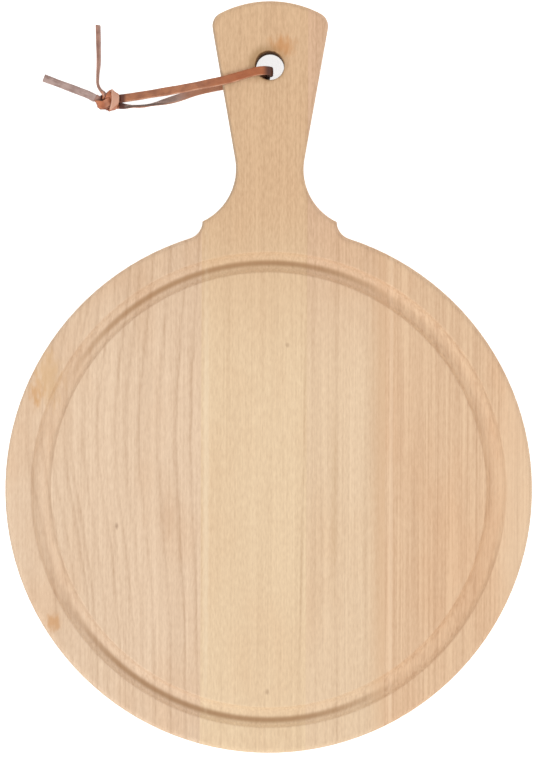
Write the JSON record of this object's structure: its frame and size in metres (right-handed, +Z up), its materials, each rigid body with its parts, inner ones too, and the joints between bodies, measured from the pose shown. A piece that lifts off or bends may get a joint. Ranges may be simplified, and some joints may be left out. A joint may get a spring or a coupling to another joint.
{
  "type": "serving board",
  "caption": "Round wooden serving board glued up from staves, with a juice groove, a paddle handle and a knotted leather lace through its hole.",
  "frame": {"origin": "on the surface the board lies on, under the middle of the wooden board's whole length and width", "axes": "+Y from the disc towards the handle, +Z up out of the serving side, +X to the right as the serving side is seen with the handle at the top"},
  "size_m": [0.2999, 0.4281, 0.0224],
  "materials": {
    "beech_left": "oiled flat-sawn beech, pale with darker ring lines",
    "beech_handle": "oiled beech, plain with fine flecks, warmer at the handle",
    "beech_middle": "oiled beech, plain and cream",
    "beech_right": "oiled beech, straight grained with fine reddish lines",
    "lace_leather": "flat russet leather thong, suede flesh side, cut edges"
  },
  "bodies": {
    "root": {"left_stave": "beech_left", "handle_stave": "beech_handle", "middle_stave": "beech_middle", "right_stave": "beech_right", "head_cheek": "beech_middle", "lace_front_run": "lace_leather", "lace_back_run": "lace_leather", "lace_knot": "lace_leather", "lace_left_tail": "lace_leather", "lace_upper_tail": "lace_leather"}
  },
  "joints": []
}
